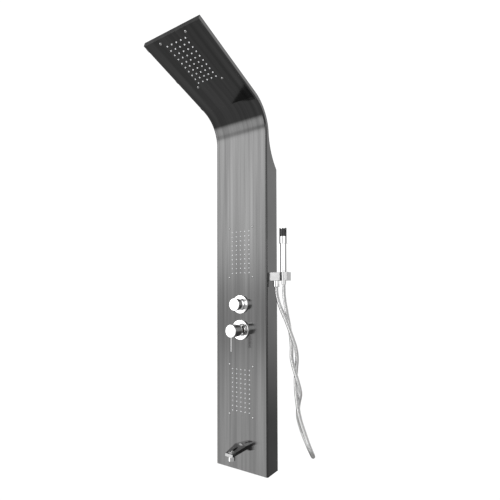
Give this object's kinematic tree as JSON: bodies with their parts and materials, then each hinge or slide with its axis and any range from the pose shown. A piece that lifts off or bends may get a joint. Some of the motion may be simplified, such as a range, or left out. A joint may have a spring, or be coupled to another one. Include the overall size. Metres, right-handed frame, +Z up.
{
  "type": "rainfall shower column",
  "caption": "Wall-hung shower column of bent dark steel with a leaning overhead spray arm, body sprays, tilting mixer, diverter, tub spout and a stick handset on a hose.",
  "frame": {"origin": "centre of the rectangle of four wall screw holes, on the wall plane", "axes": "+Z up, +X to the right of someone who faces the column, -Y out of the wall towards the user"},
  "size_m": [0.3647, 0.3862, 1.2647],
  "materials": {
    "dark_steel": "vertically brushed, dark",
    "cover_steel": "brushed, dark",
    "plain_steel": "plain sheet",
    "chrome": "polished",
    "brass": "cast and machined",
    "plastic_white": "moulded",
    "silicone": "soft",
    "rubber_black": "matte",
    "plastic_black": "satin",
    "hose_metal": "coiled strip",
    "hose_braid": "braided"
  },
  "bodies": {
    "column": {"front_panel": "dark_steel", "arm_cover": "cover_steel", "cover_screws": "chrome", "upper_cross_bar": "plain_steel", "lower_cross_bar": "plain_steel", "upper_wall_bracket": "plain_steel", "lower_wall_bracket": "plain_steel", "overhead_tray": "plastic_white", "upper_spray_tray": "plastic_white", "lower_spray_tray": "plastic_white", "overhead_nozzles": "silicone", "upper_nozzles": "silicone", "lower_nozzles": "silicone", "spray_screws": "chrome", "valve_body": "brass", "valve_gaskets": "rubber_black", "mixer_cartridge": "plastic_white", "cartridge_nut": "chrome", "mixer_plate": "chrome", "diverter_cartridge": "plastic_white", "diverter_nut": "chrome", "diverter_plate": "chrome", "holder_bar": "chrome", "holder_nut": "plain_steel", "holder_elbow": "brass", "outlet_nut": "chrome", "hose_washer": "rubber_black", "shower_hose": "hose_metal", "overhead_hose": "hose_braid", "upper_spray_hose": "hose_braid", "lower_spray_hose": "hose_braid", "holder_feed_hose": "hose_braid", "spout_feed_hose": "hose_braid", "hose_ferrules": "plain_steel", "spout": "dark_steel", "spout_nut": "plain_steel", "spout_elbow": "brass", "aerator": "chrome"},
    "mixer_rotor": {"cartridge_rotor": "plastic_black", "stem_pin": "plain_steel"},
    "mixer_handle": {"mixer_stem": "brass", "mixer_handle": "chrome", "mixer_lever": "chrome", "handle_screw": "plain_steel"},
    "diverter": {"diverter_spindle": "brass", "diverter_knob": "chrome", "knob_screw": "plain_steel"},
    "hose_end": {"handset_nut": "chrome"},
    "handset": {"handset_tube": "chrome", "handset_head": "chrome", "spray_face": "plastic_black"}
  },
  "joints": [
    {"name": "mixer_turn", "type": "hinge", "parent": "column", "child": "mixer_rotor", "pos_m": [0, -0.062, -0.048], "axis": [0, 1, 0], "range_deg": [-45, 45]},
    {"name": "mixer_lift", "type": "hinge", "parent": "mixer_rotor", "child": "mixer_handle", "pos_m": [0, -0.064, -0.048], "axis": [-1, 0, 0], "range_deg": [0, 20]},
    {"name": "diverter_turn", "type": "hinge", "parent": "column", "child": "diverter", "pos_m": [0, -0.063, 0.035], "axis": [0, 1, 0], "continuous": true},
    {"name": "handset_lift", "type": "slide", "parent": "column", "child": "hose_end", "axis": [0, 0, 1], "range_m": [0, 0.12]},
    {"name": "handset_swivel", "type": "hinge", "parent": "hose_end", "child": "handset", "pos_m": [0.147, -0.039, 0.141], "axis": [0, 0, 1], "continuous": true}
  ]
}
